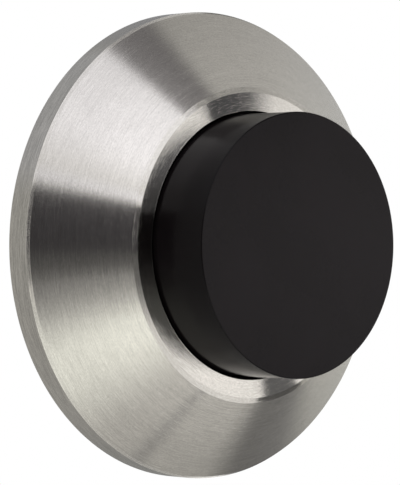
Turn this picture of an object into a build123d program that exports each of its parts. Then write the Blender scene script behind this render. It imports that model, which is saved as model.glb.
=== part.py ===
from build123d import *
from math import radians, tan
import os

# Disc door stop for a wall, in millimetres. The wall is the plane y = 0, the stop faces -Y and
# +Z is up. The origin is the centre of the disc's back face, on the wall.

# Stop as a whole
disc_diameter = 60.0
projection = 20.5  # from the wall to the front face of the buffer

# Base disc: its profile from the rim up the cone to the crown
rim_height = 3.7  # from the wall to the corner where the cone starts
crown_height = 11.9  # from the wall to the flat crown
crown_land = 2.75  # width of the flat crown, from the pocket's wall to the cone
rim_edge_break = 0.3
crown_edge_break = 0.38
mouth_edge_break = 0.06
back_edge_round = 0.3

# Pocket in the disc: it holds the buffer and hides the screw
pocket_diameter = 34.0
pocket_floor = 4.5  # thickness of steel between the wall and the pocket
undercut_depth = 0.6  # how far the undercut reaches beyond the pocket's wall
undercut_height = 2.4

# Rubber buffer: a plain cylinder on a foot that snaps into the undercut
buffer_gap = 0.35  # open ring between the buffer and the pocket's wall
buffer_edge_round = 0.25
foot_clearance = 0.1  # between the foot and the undercut, to the side and above
foot_lead_in = 0.5

# Fixing screw: countersunk, with a cross recess; its thread is within screw_diameter
screw_diameter = 4.0
screw_length = 30.0
screw_point_length = 4.5
head_diameter = 8.0
head_angle = 90.0
head_land = 0.3
head_sink = 0.3  # how far the head lies below the pocket's floor
head_seat_clearance = 0.05
screw_hole_clearance = 0.25
recess_span = 4.4
recess_width = 1.0
recess_depth = 1.9
recess_taper = 8.0

# Wall plug: a collar on the wall, a sleeve at the mouth of the hole, then two barbed jaws
plug_diameter = 6.0
plug_length = 25.0  # from the wall to its end in the hole
plug_sleeve_length = 8.0
plug_collar_diameter = 8.0
plug_collar_thickness = 0.8  # also the depth of the relief in the disc's back that takes the collar
plug_relief_clearance = 0.4
plug_bore_clearance = 0.05
barb_depth = 0.35
barb_count = 8
jaw_gap = 0.9

disc_radius = disc_diameter / 2
pocket_radius = pocket_diameter / 2
undercut_radius = pocket_radius + undercut_depth
undercut_top = pocket_floor + undercut_height
buffer_radius = pocket_radius - buffer_gap
foot_radius = undercut_radius - foot_clearance
foot_top = undercut_top - foot_clearance
screw_radius = screw_diameter / 2
head_radius = head_diameter / 2
head_top = pocket_floor - head_sink
head_spread = tan(radians(head_angle / 2))  # radius that the head's cone gains per mm of height
head_cone_height = (head_radius - screw_radius) / head_spread
countersink_radius = head_radius + head_seat_clearance + (head_sink + head_land) * head_spread
plug_radius = plug_diameter / 2
plug_bore_radius = screw_radius + plug_bore_clearance
plug_collar_radius = plug_collar_diameter / 2
relief_radius = plug_collar_radius + plug_relief_clearance
barb_root_radius = plug_radius - barb_depth
barb_pitch = (plug_length - plug_sleeve_length) / barb_count

# Section through the stop's axis: its x is the radius, and its y the distance out from the wall
section = Plane(origin=(0, 0, 0), x_dir=(1, 0, 0), z_dir=(0, 0, -1))

os.makedirs("parts", exist_ok=True)

# Base disc: turned from solid bar, with a cone, a narrow crown, a pocket undercut at its floor and,
# in the back, a shallow relief round the screw hole for the plug's collar
with BuildPart() as base_disc:
    with BuildSketch(section):
        with BuildLine():
            Polyline(
                (0, plug_collar_thickness),
                (relief_radius, plug_collar_thickness),
                (relief_radius, 0),
                (disc_radius, 0),
                (disc_radius, rim_height),
                (pocket_radius + crown_land, crown_height),
                (pocket_radius, crown_height),
                (pocket_radius, undercut_top),
                (undercut_radius, undercut_top),
                (undercut_radius, pocket_floor),
                (0, pocket_floor),
                close=True,
            )
        make_face()
    revolve(axis=Axis.Y)
    # The crown's two edges lie furthest from the wall: the cone's is the wider, the pocket's the narrower
    crown_rings = base_disc.edges().filter_by(GeomType.CIRCLE).group_by(Axis.Y)[0]
    chamfer(crown_rings.sort_by(SortBy.RADIUS)[-1], length=crown_edge_break)
    crown_rings = base_disc.edges().filter_by(GeomType.CIRCLE).group_by(Axis.Y)[0]
    chamfer(crown_rings.sort_by(SortBy.RADIUS)[0], length=mouth_edge_break)
    # The rim's two edges are the widest rings: the front one is broken, the one at the wall rounded
    rim_rings = base_disc.edges().filter_by(GeomType.CIRCLE).group_by(SortBy.RADIUS)[-1]
    chamfer(rim_rings.sort_by(Axis.Y)[0], length=rim_edge_break)
    wall_rings = base_disc.edges().filter_by(GeomType.CIRCLE).group_by(Axis.Y)[-1]
    fillet(wall_rings.sort_by(SortBy.RADIUS)[-1], radius=back_edge_round)
    # Countersunk screw hole through the pocket's floor
    with Locations(Plane(origin=(0, -pocket_floor, 0), z_dir=(0, -1, 0))):
        CounterSinkHole(
            radius=screw_radius + screw_hole_clearance,
            counter_sink_radius=countersink_radius,
            counter_sink_angle=head_angle,
        )
base_disc.part.label = "base_disc"
export_step(base_disc.part, "parts/base_disc.step")

# Rubber buffer: moulded in one piece, standing on the pocket's floor
with BuildPart() as rubber_buffer:
    with BuildSketch(section):
        with BuildLine():
            Polyline(
                (0, pocket_floor),
                (foot_radius, pocket_floor),
                (foot_radius, foot_top),
                (buffer_radius, foot_top),
                (buffer_radius, projection),
                (0, projection),
                close=True,
            )
        make_face()
    revolve(axis=Axis.Y)
    front_ring = rubber_buffer.edges().filter_by(GeomType.CIRCLE).group_by(Axis.Y)[0]
    fillet(front_ring, radius=buffer_edge_round)
    floor_ring = rubber_buffer.edges().filter_by(GeomType.CIRCLE).group_by(Axis.Y)[-1]
    chamfer(floor_ring, length=foot_lead_in)
rubber_buffer.part.label = "rubber_buffer"
export_step(rubber_buffer.part, "parts/rubber_buffer.step")

# Fixing screw: its head lies in the countersink, and its point comes out of the plug
with BuildPart() as fixing_screw:
    with BuildSketch(section):
        with BuildLine():
            Polyline(
                (0, head_top),
                (head_radius, head_top),
                (head_radius, head_top - head_land),
                (screw_radius, head_top - head_land - head_cone_height),
                (screw_radius, head_top - screw_length + screw_point_length),
                (0, head_top - screw_length),
                close=True,
            )
        make_face()
    revolve(axis=Axis.Y)
    # Cross recess, narrowing inwards
    with BuildSketch(Plane(origin=(0, -head_top, 0), z_dir=(0, 1, 0))):
        Rectangle(recess_span, recess_width)
        Rectangle(recess_width, recess_span)
    extrude(amount=recess_depth, taper=recess_taper, mode=Mode.SUBTRACT)
fixing_screw.part.label = "fixing_screw"
export_step(fixing_screw.part, "parts/fixing_screw.step")

# Wall plug: moulded nylon, its collar between disc and wall, its barbs steep towards the wall's face
barb_outline = []
for barb in range(barb_count):
    barb_start = plug_sleeve_length + barb * barb_pitch
    barb_outline += [(plug_radius, -barb_start), (barb_root_radius, -barb_start - barb_pitch)]
with BuildPart() as wall_plug:
    with BuildSketch(section):
        with BuildLine():
            Polyline(
                (plug_bore_radius, plug_collar_thickness),
                (plug_collar_radius, plug_collar_thickness),
                (plug_collar_radius, 0),
                (plug_radius, 0),
                *barb_outline,
                (plug_bore_radius, -plug_length),
                close=True,
            )
        make_face()
    revolve(axis=Axis.Y)
    # The slot between the two jaws runs from the sleeve to the end of the plug
    with BuildSketch(Plane(origin=(0, plug_sleeve_length, 0), z_dir=(0, 1, 0))):
        Rectangle(plug_diameter, jaw_gap)
    extrude(amount=plug_length - plug_sleeve_length, mode=Mode.SUBTRACT)
wall_plug.part.label = "wall_plug"
export_step(wall_plug.part, "parts/wall_plug.step")
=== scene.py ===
from math import cos, pi, radians, sin

import bpy
import numpy as np
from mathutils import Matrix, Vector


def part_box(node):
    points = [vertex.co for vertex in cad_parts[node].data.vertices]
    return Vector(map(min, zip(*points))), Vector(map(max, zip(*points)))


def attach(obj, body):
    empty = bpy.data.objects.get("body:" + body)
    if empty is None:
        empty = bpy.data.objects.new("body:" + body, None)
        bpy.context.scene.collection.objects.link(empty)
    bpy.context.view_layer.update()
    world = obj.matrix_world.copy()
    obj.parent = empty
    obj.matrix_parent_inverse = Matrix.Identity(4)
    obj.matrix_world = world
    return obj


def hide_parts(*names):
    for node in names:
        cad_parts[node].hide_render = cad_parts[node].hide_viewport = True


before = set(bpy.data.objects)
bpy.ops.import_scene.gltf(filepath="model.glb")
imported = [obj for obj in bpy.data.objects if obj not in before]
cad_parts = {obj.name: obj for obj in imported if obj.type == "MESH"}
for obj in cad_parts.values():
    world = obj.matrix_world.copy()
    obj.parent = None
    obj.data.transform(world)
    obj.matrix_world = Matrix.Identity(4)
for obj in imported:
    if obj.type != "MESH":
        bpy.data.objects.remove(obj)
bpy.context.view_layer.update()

# Base disc. The real one is turned from a solid bar of stainless steel and then brushed while it spins,
# so every face carries fine lines round the axis. A cone runs from a straight rim up to a narrow flat
# crown, and the pocket in its middle takes the buffer. It hangs on one screw, hidden under the buffer.

disc_low, disc_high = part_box("base_disc")
disc_radius = disc_high[0]
crown_height = -disc_low[1]
rim_height = 0.0037
pocket_radius = 0.017
crown_land = 0.00275
pocket_floor = 0.0045
undercut_radius = 0.0176
undercut_top = 0.0069
screw_hole_radius = 0.00225
countersink_radius = 0.00465
countersink_depth = 0.0024
relief_radius = 0.0044
relief_depth = 0.0008
rim_edge_break = 0.0003
crown_edge_break = 0.00038
mouth_edge_break = 0.00006
back_edge_break = 0.0001
corner_rounding = 0.00008
mouth_rounding = 0.00003


def broken_corner(before, corner, after, size):
    """The two ends of an edge break: the corner moved by its size towards each of its neighbours."""
    corner = np.array(corner)
    return [tuple(corner + size * (side - corner) / np.linalg.norm(side - corner))
            for side in (np.array(before), np.array(after))]


def rounded_outline(corners, radius, arc_steps=5, lead=0.00004):
    """A closed outline with each corner turned into an arc of the radius, whatever its angle.

    From a corner the arc starts radius / tan(half the angle) along each side, and its centre lies
    radius / sin(half the angle) along the bisector. One more point a little way out on each side keeps
    the flat beside the arc flat in the shading.
    """
    corners = np.array(corners)
    before = np.roll(corners, 1, axis=0) - corners
    after = np.roll(corners, -1, axis=0) - corners
    before_way = before / np.linalg.norm(before, axis=1)[:, None]
    after_way = after / np.linalg.norm(after, axis=1)[:, None]
    half_angle = np.arccos(np.clip((before_way * after_way).sum(axis=1), -1, 1)) / 2
    bisector = before_way + after_way
    bisector /= np.linalg.norm(bisector, axis=1)[:, None]
    radius = np.broadcast_to(radius, half_angle.shape)
    reach = (radius / np.tan(half_angle))[:, None]
    centre = corners + bisector * (radius / np.sin(half_angle))[:, None]
    start = corners + before_way * reach
    end = corners + after_way * reach
    turn = pi - 2 * half_angle
    share = np.linspace(0, 1, arc_steps)
    from_start = (np.sin(np.outer(turn, 1 - share)) / np.sin(turn)[:, None])[..., None]
    from_end = (np.sin(np.outer(turn, share)) / np.sin(turn)[:, None])[..., None]
    arc = centre[:, None] + from_start * (start - centre)[:, None] + from_end * (end - centre)[:, None]
    return np.concatenate([(start + before_way * lead)[:, None], arc, (end + after_way * lead)[:, None]],
                          axis=1).reshape(-1, 2)


def turned_piece(name, outline, solid=False, sectors=360):
    """An outline of (radius, height off the wall) carried round the stop's axis.

    At the angle a, radius r and height h give the point (r cos a, -h, r sin a). A solid piece's outline
    starts and ends near the axis, and a flat face closes it there; any other outline closes on itself.
    """
    angle = np.arange(sectors) * 2 * pi / sectors
    radius, height = outline[:, 0], outline[:, 1]
    points = np.stack([np.outer(np.cos(angle), radius), np.broadcast_to(-height, (sectors, len(radius))),
                       np.outer(np.sin(angle), radius)], axis=-1)
    return grid_piece(name, points, closed_rows=True, closed_columns=not solid, capped=solid)


def grid_piece(name, points, closed_rows=False, closed_columns=False, capped=False):
    """A smooth mesh over a grid of points, its faces joined round where the grid closes on itself.

    A capped one is closed by a flat face over its first column, and another over its last.
    """
    rows, columns = points.shape[:2]
    row = np.arange(rows if closed_rows else rows - 1)[:, None]
    column = np.arange(columns if closed_columns else columns - 1)[None, :]
    next_row, next_column = (row + 1) % rows, (column + 1) % columns
    faces = np.stack([row * columns + column, next_row * columns + column,
                      next_row * columns + next_column, row * columns + next_column], axis=-1).reshape(-1, 4)
    first = np.arange(rows) * columns
    caps = [first[::-1].tolist(), (first + columns - 1).tolist()] if capped else []
    mesh = bpy.data.meshes.new(name)
    mesh.from_pydata(points.reshape(-1, 3), [], faces.tolist() + caps)
    mesh.shade_smooth()
    piece = bpy.data.objects.new(name, mesh)
    bpy.context.scene.collection.objects.link(piece)
    return piece


class Finish:
    """A material's node tree. add() makes every node in it, and returns the wire from its first output."""

    def __init__(self, name):
        self.material = bpy.data.materials.new(name)
        self.material.use_nodes = True
        self.tree = self.material.node_tree
        self.tree.nodes.clear()

    def add(self, kind, settings=None, inputs=None):
        """A node of this kind: its settings first, then its inputs' values or wires."""
        node = self.tree.nodes.new(kind)
        for key, value in (settings or {}).items():
            setattr(node, key, value)
        for key, value in (inputs or {}).items():
            socket = node.inputs[key]
            if isinstance(value, Wire):
                self.tree.links.new(value.socket, socket)
            else:
                socket.default_value = value
        return Wire(self, node.outputs[0]) if node.outputs else None

    def mix(self, factor, first, second):
        """The first colour where the factor is 0, the second where it is 1, and a blend between."""
        blend = self.add("ShaderNodeMix", {"data_type": "RGBA"}, {
            "Factor": factor, 6: (*first, 1), 7: (*second, 1)})
        return Wire(self, blend.socket.node.outputs[2])


class Wire:
    """An output socket. Arithmetic on it adds Math nodes, so that a pattern reads as a sum."""

    def __init__(self, finish, socket):
        self.finish, self.socket = finish, socket

    def output(self, name):
        return Wire(self.finish, self.socket.node.outputs[name])

    def maths(self, operation, *values):
        return self.finish.add("ShaderNodeMath", {"operation": operation}, dict(enumerate(values)))

    def __add__(self, other):
        return self.maths("ADD", self, other)

    def __sub__(self, other):
        return self.maths("SUBTRACT", self, other)

    def __rsub__(self, other):
        return self.maths("SUBTRACT", other, self)

    def __mul__(self, other):
        return self.maths("MULTIPLY", self, other)

    def __pow__(self, other):
        return self.maths("POWER", self, other)

    def step(self, low, high):
        """0 below low, 1 above high, and a smooth rise between them."""
        return self.finish.add("ShaderNodeMapRange", {"interpolation_type": "SMOOTHSTEP"},
                               {"Value": self, "From Min": low, "From Max": high})

    __radd__, __rmul__ = __add__, __mul__


def brushed_stainless():
    """Steel with lines round the axis: the lines tilt the surface only across themselves, so what it
    mirrors is drawn out from the crown to the rim, in rays."""
    finish = Finish("brushed stainless")
    place = finish.add("ShaderNodeSeparateXYZ", inputs={
        0: finish.add("ShaderNodeTexCoord").output("Object")})
    x, y, z = place.output("X"), place.output("Y"), place.output("Z")
    radius = (x * x + z * z) ** 0.5
    across = radius + y

    def lines(per_metre, along_per_metre, detail=0.0):
        way = finish.add("ShaderNodeCombineXYZ", inputs={
            0: across * per_metre, 1: x * along_per_metre, 2: z * along_per_metre})
        return finish.add("ShaderNodeTexNoise", inputs={
            "Vector": way, "Scale": 1.0, "Detail": detail, "Roughness": 0.6})

    height = y * -1
    on_crown = height.step(crown_height - 0.00035, crown_height - 0.00015) * radius.step(
        pocket_radius, pocket_radius + 0.0002)
    on_side = radius.step(disc_radius - 0.0001, disc_radius - 0.00002)
    # The finest lines are deepest at the cone's upper end, and all are shallow on the crown, where the
    # wheel lay flat; the scratches and the grit only change the colour
    hair_lines = lines(80000, 600)
    scratches = lines(11000, 450, 1.0)
    grit = lines(9000, 3500)
    brush_lines = lines(3600, 80, 2.0)
    broad_lines = lines(700, 40, 2.0)
    depth = hair_lines * (0.145 + 0.1 * height.step(rim_height, crown_height) - 0.142 * on_crown)
    depth = depth + brush_lines * (0.5 - 0.4 * on_crown)
    # The wheel leaves the crown falling a little towards the cone, too little for its outline
    crown_edge = pocket_radius + crown_land - crown_edge_break
    crown_fall_angle = radians(6.2)
    crown_fall = height.maths("MAXIMUM", crown_edge - radius, 0.0) * height.step(0.006, 0.008)
    bump_distance = 0.00002
    depth = depth + crown_fall * (crown_fall_angle / bump_distance)
    cloud = finish.add("ShaderNodeTexNoise", inputs={
        "Vector": finish.add("ShaderNodeTexCoord").output("Object"), "Scale": 60.0, "Detail": 3.0})
    patchy = 2.0 - 0.9 * (x + z).step(-0.02, 0.03) + 2.2 * on_side - 0.9 * on_crown
    stripes = scratches * 0.6 + brush_lines * 0.25 + broad_lines * 0.15 - 0.5
    # The cone's colour runs from a little darker at the rim to a little brighter at its upper end
    brighter_towards_crown = (height.step(rim_height, crown_height) - 0.5) * (1 - on_crown) * (1 - on_side)
    tone = stripes * patchy + grit * 0.8 + brighter_towards_crown * 0.42 + 0.12
    colour = finish.mix(tone, (0.44, 0.419, 0.387), (0.66, 0.629, 0.581))
    rough = 0.10 + 0.05 * brush_lines + 0.04 * cloud - 0.09 * on_crown
    normal = finish.add("ShaderNodeBump", inputs={
        "Height": depth, "Distance": bump_distance, "Filter Width": 0.003})
    finish.add("ShaderNodeOutputMaterial", inputs={"Surface": finish.add("ShaderNodeBsdfPrincipled", inputs={
        "Base Color": colour, "Metallic": 1.0, "Roughness": rough, "Normal": normal})})
    return finish.material


rim_corner = (disc_radius, rim_height)
crown_corner = (pocket_radius + crown_land, crown_height)
mouth_corner = (pocket_radius, crown_height)
disc_outline = [
    (screw_hole_radius, relief_depth),
    (relief_radius, relief_depth),
    (relief_radius, 0),
    *broken_corner((relief_radius, 0), (disc_radius, 0), rim_corner, back_edge_break),
    *broken_corner((disc_radius, 0), rim_corner, crown_corner, rim_edge_break),
    *broken_corner(rim_corner, crown_corner, mouth_corner, crown_edge_break),
    *broken_corner(crown_corner, mouth_corner, (pocket_radius, undercut_top), mouth_edge_break),
    (pocket_radius, undercut_top),
    (undercut_radius, undercut_top),
    (undercut_radius, pocket_floor),
    (countersink_radius, pocket_floor),
    (screw_hole_radius, pocket_floor - countersink_depth),
]
disc_rounding = np.full(len(disc_outline), corner_rounding)
mouth_corners = slice(9, 11)
disc_rounding[mouth_corners] = mouth_rounding
base_disc = turned_piece("base_disc_turned", rounded_outline(disc_outline, disc_rounding))
base_disc.data.materials.append(brushed_stainless())
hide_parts("base_disc")
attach(base_disc, "root")

# Buffer. The real one is moulded in one piece of black rubber, a little matt and a little greasy to the
# touch. It is pushed into the pocket until its foot snaps into the undercut, with an open ring round it.

buffer_low, buffer_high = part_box("rubber_buffer")
foot_radius = buffer_high[0]
projection = -buffer_low[1]
buffer_radius = 0.01665
foot_top = 0.0068
foot_lead_in = 0.0005
foot_rounding = 0.0001
front_rounding = 0.00012


def black_rubber():
    """Rubber: nearly black, with the mould's fine grain and a faint, cloudy bloom on its skin."""
    finish = Finish("black rubber")
    place = finish.add("ShaderNodeTexCoord").output("Object")
    grain = finish.add("ShaderNodeTexNoise", inputs={"Vector": place, "Scale": 9000.0, "Detail": 2.0})
    bloom = finish.add("ShaderNodeTexNoise", inputs={"Vector": place, "Scale": 120.0, "Detail": 4.0})
    colour = finish.mix(bloom.step(0.35, 0.7), (0.0034, 0.0026, 0.0028), (0.0052, 0.0040, 0.0044))
    normal = finish.add("ShaderNodeBump", inputs={
        "Height": grain, "Distance": 0.000003, "Filter Width": 0.01})
    finish.add("ShaderNodeOutputMaterial", inputs={"Surface": finish.add("ShaderNodeBsdfPrincipled", inputs={
        "Base Color": colour, "Roughness": 0.15 + 0.05 * bloom, "Specular IOR Level": 0.082,
        "Normal": normal})})
    return finish.material


buffer_outline = [
    (0, pocket_floor),
    *broken_corner((0, pocket_floor), (foot_radius, pocket_floor), (foot_radius, foot_top), foot_lead_in),
    (foot_radius, foot_top),
    (buffer_radius, foot_top),
    (buffer_radius, projection),
    (0, projection),
]
buffer_rounding = np.array([0, *[foot_rounding] * 4, front_rounding, 0])
# The outline's two ends on the axis are cut away with their arcs, as flat faces close the piece there
points_per_corner = 7
rubber_buffer = turned_piece("rubber_buffer_moulded", rounded_outline(
    buffer_outline, buffer_rounding)[points_per_corner:-points_per_corner], solid=True)
rubber_buffer.data.materials.append(black_rubber())
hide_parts("rubber_buffer")
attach(rubber_buffer, "root")

# Screw. The real one is a zinc-plated 4 mm chipboard screw, its thread rolled and its head forged with a
# cross recess. It passes through the disc's floor into the plug, and the buffer hides its head.

screw_low, screw_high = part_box("fixing_screw")
head_radius = screw_high[0]
head_top = -screw_low[1]
tip_height = -screw_high[1]
screw_radius = 0.002
core_radius = 0.00135
tip_radius = 0.00004
head_land = 0.0003
head_edge_break = 0.00006
neck_length = 0.0004
point_length = 0.0045
thread_pitch = 0.0018
recess_half_span = 0.0022
recess_half_width = 0.0005
recess_depth = 0.0019
recess_narrowing = 0.00027


def cross_radius(angle, half_span, half_width):
    """The radius of a cross-shaped outline at an angle: the further of its two bars, where a bar of
    half length s and half width w reaches to the nearer of s / |cos| and w / |sin|."""
    c, s = np.maximum(np.abs(np.cos(angle)), 1e-9), np.maximum(np.abs(np.sin(angle)), 1e-9)
    return np.maximum(np.minimum(half_span / c, half_width / s), np.minimum(half_width / c, half_span / s))


def zinc_plate():
    """Bright zinc over steel: bluish, with the drawn wire's lines along it and dull cloudy patches."""
    finish = Finish("zinc plate")
    place = finish.add("ShaderNodeTexCoord").output("Object")
    cloud = finish.add("ShaderNodeTexNoise", inputs={"Vector": place, "Scale": 900.0, "Detail": 4.0})
    drawn = finish.add("ShaderNodeTexNoise", inputs={"Detail": 2.0, "Scale": 1.0, "Vector": finish.add(
        "ShaderNodeMapping", {"vector_type": "POINT"}, {"Vector": place, "Scale": (9000.0, 500.0, 9000.0)})})
    colour = finish.mix(cloud.step(0.3, 0.7), (0.55, 0.57, 0.60), (0.66, 0.67, 0.68))
    normal = finish.add("ShaderNodeBump", inputs={
        "Height": drawn, "Distance": 0.000003, "Filter Width": 0.01})
    finish.add("ShaderNodeOutputMaterial", inputs={"Surface": finish.add("ShaderNodeBsdfPrincipled", inputs={
        "Base Color": colour, "Metallic": 1.0, "Roughness": 0.22 + 0.2 * cloud, "Normal": normal})})
    return finish.material


# Each ring of the core and head is a circle or a cross at its own height, from the tip up round the head
# and in to the recess's floor; the angles take in the corners of both crosses
corner_angles = [np.arctan2(recess_half_width, recess_half_span),
                 np.arctan2(recess_half_width - recess_narrowing, recess_half_span - recess_narrowing)]
quarter = np.concatenate([np.arange(60) * pi / 120, corner_angles, pi / 2 - np.array(corner_angles)])
screw_angle = np.sort((np.arange(4)[:, None] * pi / 2 + quarter).ravel())
recess_floor = cross_radius(
    screw_angle, recess_half_span - recess_narrowing, recess_half_width - recess_narrowing)
recess_mouth = cross_radius(screw_angle, recess_half_span, recess_half_width)
neck_height = head_top - head_land - (head_radius - screw_radius)
core_start = neck_height - 0.001
point_start = tip_height + point_length
screw_rings = [
    (tip_radius, tip_height),
    (core_radius * 0.98, point_start),
    (core_radius, point_start + 0.0001),
    (core_radius, core_start - 0.0001),
    (core_radius, core_start),
    (screw_radius, neck_height - neck_length),
    (screw_radius, neck_height),
    (screw_radius + 0.00004, neck_height + 0.00004),
    (head_radius - 0.00004, head_top - head_land - 0.00004),
    (head_radius, head_top - head_land + head_edge_break),
    (head_radius, head_top - 2 * head_edge_break),
    (head_radius, head_top - head_edge_break),
    (head_radius - head_edge_break, head_top),
    (head_radius - 2 * head_edge_break, head_top),
    (recess_mouth * 0.98 + head_radius * 0.02, head_top),
    (recess_mouth, head_top),
    (recess_floor * 0.02 + recess_mouth * 0.98, head_top - 0.02 * recess_depth),
    (recess_floor, head_top - recess_depth),
    (recess_floor * 0.97, head_top - recess_depth),
    (recess_floor * 0.05, head_top - recess_depth),
]
ring_radius = np.stack([np.broadcast_to(radius, screw_angle.shape) for radius, height in screw_rings],
                       axis=1)
ring_height = np.array([height for radius, height in screw_rings])
fixing_screw = grid_piece("fixing_screw_forged", np.stack([
    ring_radius * np.cos(screw_angle)[:, None], np.broadcast_to(-ring_height, ring_radius.shape),
    ring_radius * np.sin(screw_angle)[:, None]], axis=-1), closed_rows=True, capped=True)

# The thread is a ridge of four corners carried along a helix; it grows out of the core below the neck,
# and runs down the point with it
thread_start = core_start - 0.0002
thread_end = tip_height + 0.0006
thread_height = np.linspace(thread_start, thread_end, 700)
thread_turn = (thread_start - thread_height) / thread_pitch * 2 * pi
down_the_point = np.clip((thread_height - tip_height) / point_length, 0, 1)
grown = np.clip(thread_turn / pi, 0, 1)
root = (core_radius - 0.00008) * down_the_point
crest = root + (screw_radius * down_the_point - root) * grown
ridge_half_width = 0.0003
crest_half_width = 0.00003
ridge = [(root, ridge_half_width), (crest, crest_half_width),
         (crest, -crest_half_width), (root, -ridge_half_width)]
screw_thread = grid_piece("fixing_screw_thread", np.stack([np.stack([
    radius * np.cos(thread_turn), -(thread_height + offset * down_the_point), radius * np.sin(thread_turn)],
    axis=-1) for radius, offset in ridge]), closed_rows=True, capped=True)
for piece in (fixing_screw, screw_thread):
    piece.data.materials.append(zinc_plate() if piece is fixing_screw else fixing_screw.data.materials[0])
    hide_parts("fixing_screw")
    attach(piece, "root")

# Plug. The real one is injection moulded in grey nylon: a collar that stops it on the wall, a sleeve, and
# two barbed jaws that the screw drives apart. The CAD's own shape is right, and only its finish is made.


def grey_nylon():
    """Nylon: grey and waxy, with the mould's spark-eroded grain and faint streaks of flow along it."""
    finish = Finish("grey nylon")
    place = finish.add("ShaderNodeTexCoord").output("Object")
    grain = finish.add("ShaderNodeTexNoise", inputs={"Vector": place, "Scale": 5000.0, "Detail": 2.0})
    flow = finish.add("ShaderNodeTexNoise", inputs={"Detail": 3.0, "Scale": 1.0, "Vector": finish.add(
        "ShaderNodeMapping", {"vector_type": "POINT"}, {"Vector": place, "Scale": (900.0, 120.0, 900.0)})})
    colour = finish.mix(flow.step(0.3, 0.7), (0.135, 0.14, 0.145), (0.165, 0.17, 0.175))
    normal = finish.add("ShaderNodeBump", inputs={
        "Height": grain, "Distance": 0.00001, "Filter Width": 0.01})
    finish.add("ShaderNodeOutputMaterial", inputs={"Surface": finish.add("ShaderNodeBsdfPrincipled", inputs={
        "Base Color": colour, "Roughness": 0.42 + 0.15 * flow, "Normal": normal})})
    return finish.material


wall_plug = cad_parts["wall_plug"]
for nylon_slot in wall_plug.material_slots:
    nylon_slot.material = grey_nylon()

# Studio: a pale floor, a white surround, and soft boxes, grey cards and black flags, as for any shot of
# brushed metal. Each card is set by the faces of the stop that mirror it to the camera: by their turn round
# the disc (0 at its right, 90 at its foot) and by their slope off the flat crown, both in degrees.

camera_azimuth = radians(-42.07)
ahead = np.array([-sin(camera_azimuth), cos(camera_azimuth), 0.0])
to_right = np.array([cos(camera_azimuth), sin(camera_azimuth), 0.0])
upward = np.array([0.0, 0.0, 1.0])


def mirrored_card(name, turns, slopes, glow, soft, tint, lamp, distance):
    """A patch of a sphere round the stop, that faces over some turns and slopes mirror to the camera.

    A face that slopes by s towards the turn t has the normal n = cos(s) front + sin(s) (cos(t) right +
    sin(t) down), and the patch lies along 2 (n . v) n - v, where v is the way to the camera. The glow runs
    evenly from its first value to its second, and fades out over the soft degrees at the card's first
    turn, its last turn and both its sides. Only a lamp lights what doesn't mirror it.
    """
    turn, slope = np.meshgrid(np.radians(np.linspace(*turns, 64)), np.radians(np.linspace(*slopes, 48)))
    normal = np.stack([np.sin(slope) * np.cos(turn), -np.cos(slope), -np.sin(slope) * np.sin(turn)], axis=-1)
    facing = -(normal @ ahead)[..., None]
    card = grid_piece(name, distance * (2 * facing * normal + ahead))
    across, up = np.meshgrid(np.linspace(0, 1, slope.shape[1]), np.linspace(0, 1, slope.shape[0]))
    place = card.data.attributes.new("place", "FLOAT_VECTOR", "POINT")
    place.data.foreach_set("vector", np.stack([across, up, 0 * up], axis=-1).ravel())
    finish = Finish(name)
    place = finish.add("ShaderNodeSeparateXYZ", inputs={
        0: finish.add("ShaderNodeAttribute", {"attribute_name": "place"}).output("Vector")})
    u, v = place.output("X"), place.output("Y")
    turn_width, slope_width = turns[1] - turns[0], slopes[1] - slopes[0]
    cover = u.step(0, soft[0] / turn_width) * (1 - u).step(0, soft[1] / turn_width)
    cover = cover * v.step(0, soft[2] / slope_width) * (1 - v).step(0, soft[2] / slope_width)
    start, end = (tuple(side * part for part in tint) for side in glow)
    colour = (*start, 1) if start == end else finish.mix(u, start, end)
    finish.add("ShaderNodeOutputMaterial", inputs={0: finish.add("ShaderNodeMixShader", inputs={
        0: cover, 1: finish.add("ShaderNodeBsdfTransparent"),
        2: finish.add("ShaderNodeEmission", inputs={0: colour})})})
    card.data.materials.append(finish.material)
    card.visible_shadow = card.visible_diffuse = lamp
    card.visible_camera = False


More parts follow.
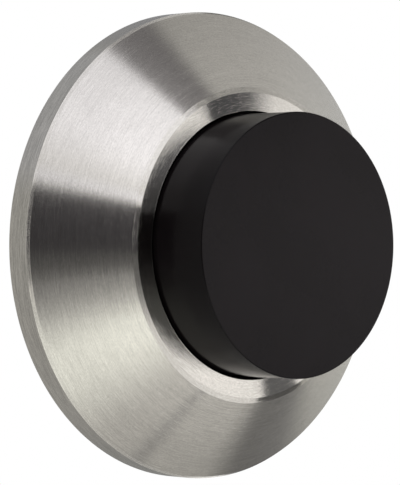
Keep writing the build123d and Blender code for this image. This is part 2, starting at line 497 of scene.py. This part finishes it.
# Name, turns, slopes, glow at both ends, soft degrees at both ends and the sides, tint, and whether it is
# a lamp; each card hangs in front of those before it
cards = [
    ("upper_card", (226, 345), (10, 70), (0.5, 0.74), (7, 7, 6), (1, 1, 0.98), False),
    ("lower_card", (72, 182), (20, 76), (0.46, 0.95), (7, 7, 6), (1, 1, 0.97), False),
    ("right_card", (15, 82), (10, 80), (0.77, 0.42), (4, 4, 7), (1, 1, 0.95), False),
    ("rear_card", (84, 276), (76, 125), (0.42, 0.50), (6, 6, 2), (1, 1, 0.97), False),
    ("rear_foot_card", (86, 140), (76, 125), (0.24, 0.40), (3, 21, 2), (1, 1, 0.97), False),
    ("rear_key_card", (190, 240), (76, 125), (0.56, 0.44), (12, 8, 2), (1, 1.02, 1.06), False),
    ("rear_top_card", (231, 266), (76, 125), (0.37, 0.29), (10, 4, 2), (1, 1.01, 1.04), False),
    ("crown_box", (0, 360), (0.5, 17), (1.34, 1.34), (0.5, 0.5, 1), (1, 1, 1), True),
    ("face_box", (0, 360), (0.05, 3.5), (2.5, 2.5), (0.5, 0.5, 1), (1, 0.92, 0.94), True),
    ("crown_shade", (229, 250), (2, 16), (1.28, 1.28), (6, 2, 1), (1, 1, 1), False),
    ("crown_top_shade", (262, 304), (2, 16), (1.05, 1.2), (12, 17, 1), (1, 1, 1), False),
    ("foot_box", (85, 146), (13, 28), (1.15, 1.2), (6, 30, 3), (1, 1, 1), False),
    ("key_box", (194.5, 237), (15, 74), (1.56, 1.3), (19, 3, 5), (1, 1.01, 1.08), True),
    ("key_lip", (195.3, 200.6), (15, 74), (1.28, 1.28), (1.5, 3, 5), (1, 1.01, 1.08), False),
    ("table_box", (124, 172), (26, 74), (1.36, 1.36), (26, 19, 5), (1, 1.03, 0.98), True),
    ("shelf_card", (151, 181), (4, 60), (0.33, 0.33), (21, 2, 4), (1, 1, 1), False),
    ("crown_ledge", (143, 172), (0.3, 15), (0.15, 0.1), (10, 6, 1), (1, 1, 1), False),
    ("seam_flag", (170.5, 174), (12, 72), (0.18, 0.18), (1, 1, 6), (1, 1, 1), False),
    ("seam_line", (173, 178), (12, 72), (0.11, 0.11), (0.8, 1, 6), (1, 1, 1), False),
    ("ledge_flag", (144, 178), (11, 27), (0.25, 0.15), (27, 3, 3), (1, 1, 1), False),
    ("front_flag", (176, 196), (12, 73), (0.05, 0.075), (2.5, 2.5, 4), (1, 0.97, 1.05), False),
    ("low_box", (203, 244), (14, 26), (1.36, 1.4), (9, 5, 2), (1, 1.01, 1.05), False),
    ("upper_flag", (234.7, 254), (21, 70), (0.33, 0.185), (2, 6.5, 4), (1, 0.98, 1.03), False),
    ("lower_flag", (54, 96), (27, 61), (0.3, 0.19), (19, 14, 3), (1, 1, 1), False),
    ("ray_flag", (112.3, 117.3), (27, 72), (0.38, 0.44), (1, 2, 7), (1, 1, 1), False),
    ("edge_foot_flag", (64, 88.5), (15, 28), (0.11, 0.11), (3, 2.5, 1), (1, 1, 1), False),
    ("crown_flag", (247.9, 284), (0.3, 17.5), (0.09, 0.13), (1.2, 17, 0.6), (1, 1.03, 1.1), False),
    ("crown_foot_flag", (67, 84.8), (0.3, 16), (0.18, 0.15), (2, 2, 0.5), (1, 1.02, 1.06), False),
    ("rim_flag", (30, 84), (54, 80), (0.1, 0.1), (3, 3, 3), (1, 1, 1), False),
    ("rim_box", (85, 99), (60, 80), (1.3, 1.3), (3, 6, 2), (1, 1, 1), False),
    ("rim_card", (294, 330), (54, 80), (0.35, 0.35), (7, 2, 3), (1, 1, 1), False),
]
for place_in_line, (name, turns, slopes, glow, soft, tint, lamp) in enumerate(cards):
    mirrored_card(name, turns, slopes, glow, soft, tint, lamp, distance=1.6 - 0.008 * place_in_line)

floor_level = -1.8
floor_reach = 6.0
steps = np.linspace(-floor_reach, floor_reach, 9)
floor_x, floor_y = np.meshgrid(steps, steps, indexing="ij")
studio_floor = grid_piece("studio_floor", np.stack([floor_x, floor_y, 0 * floor_x + floor_level], axis=-1))
floor_finish = Finish("pale floor")
light_path = floor_finish.add("ShaderNodeLightPath")
seen = light_path.output("Is Camera Ray") + light_path.output("Is Glossy Ray") + light_path.output(
    "Is Transmission Ray")
paint = floor_finish.add("ShaderNodeBsdfDiffuse", inputs={0: (0.8, 0.8, 0.8, 1)})
glow = floor_finish.add("ShaderNodeEmission", inputs={0: seen * 0.28})
floor_finish.add("ShaderNodeOutputMaterial", inputs={0: floor_finish.add("ShaderNodeAddShader", inputs={
    0: paint, 1: glow})})
studio_floor.data.materials.append(floor_finish.material)

world = bpy.data.worlds.new("studio")
world.use_nodes = True
background = world.node_tree.nodes["Background"]
background.inputs[0].default_value = (1, 1, 1, 1)
background.inputs[1].default_value = 1.0
bpy.context.scene.world = world

camera_data = bpy.data.cameras.new("camera")
camera_data.sensor_width = 36.0
picture_height = 485
focal_pixels = 2855.6
camera_data.lens = focal_pixels / picture_height * camera_data.sensor_width
camera_data.clip_start, camera_data.clip_end = 0.01, 100
camera = bpy.data.objects.new("camera", camera_data)
bpy.context.scene.collection.objects.link(camera)
camera_distance = 0.37065
camera_to_right = 0.001214
camera_up = 0.000353
camera.location = camera_to_right * to_right + camera_up * upward - camera_distance * ahead
camera.rotation_euler = (pi / 2, 0, camera_azimuth)
bpy.context.scene.camera = camera
bpy.context.scene.view_settings.view_transform = "Standard"
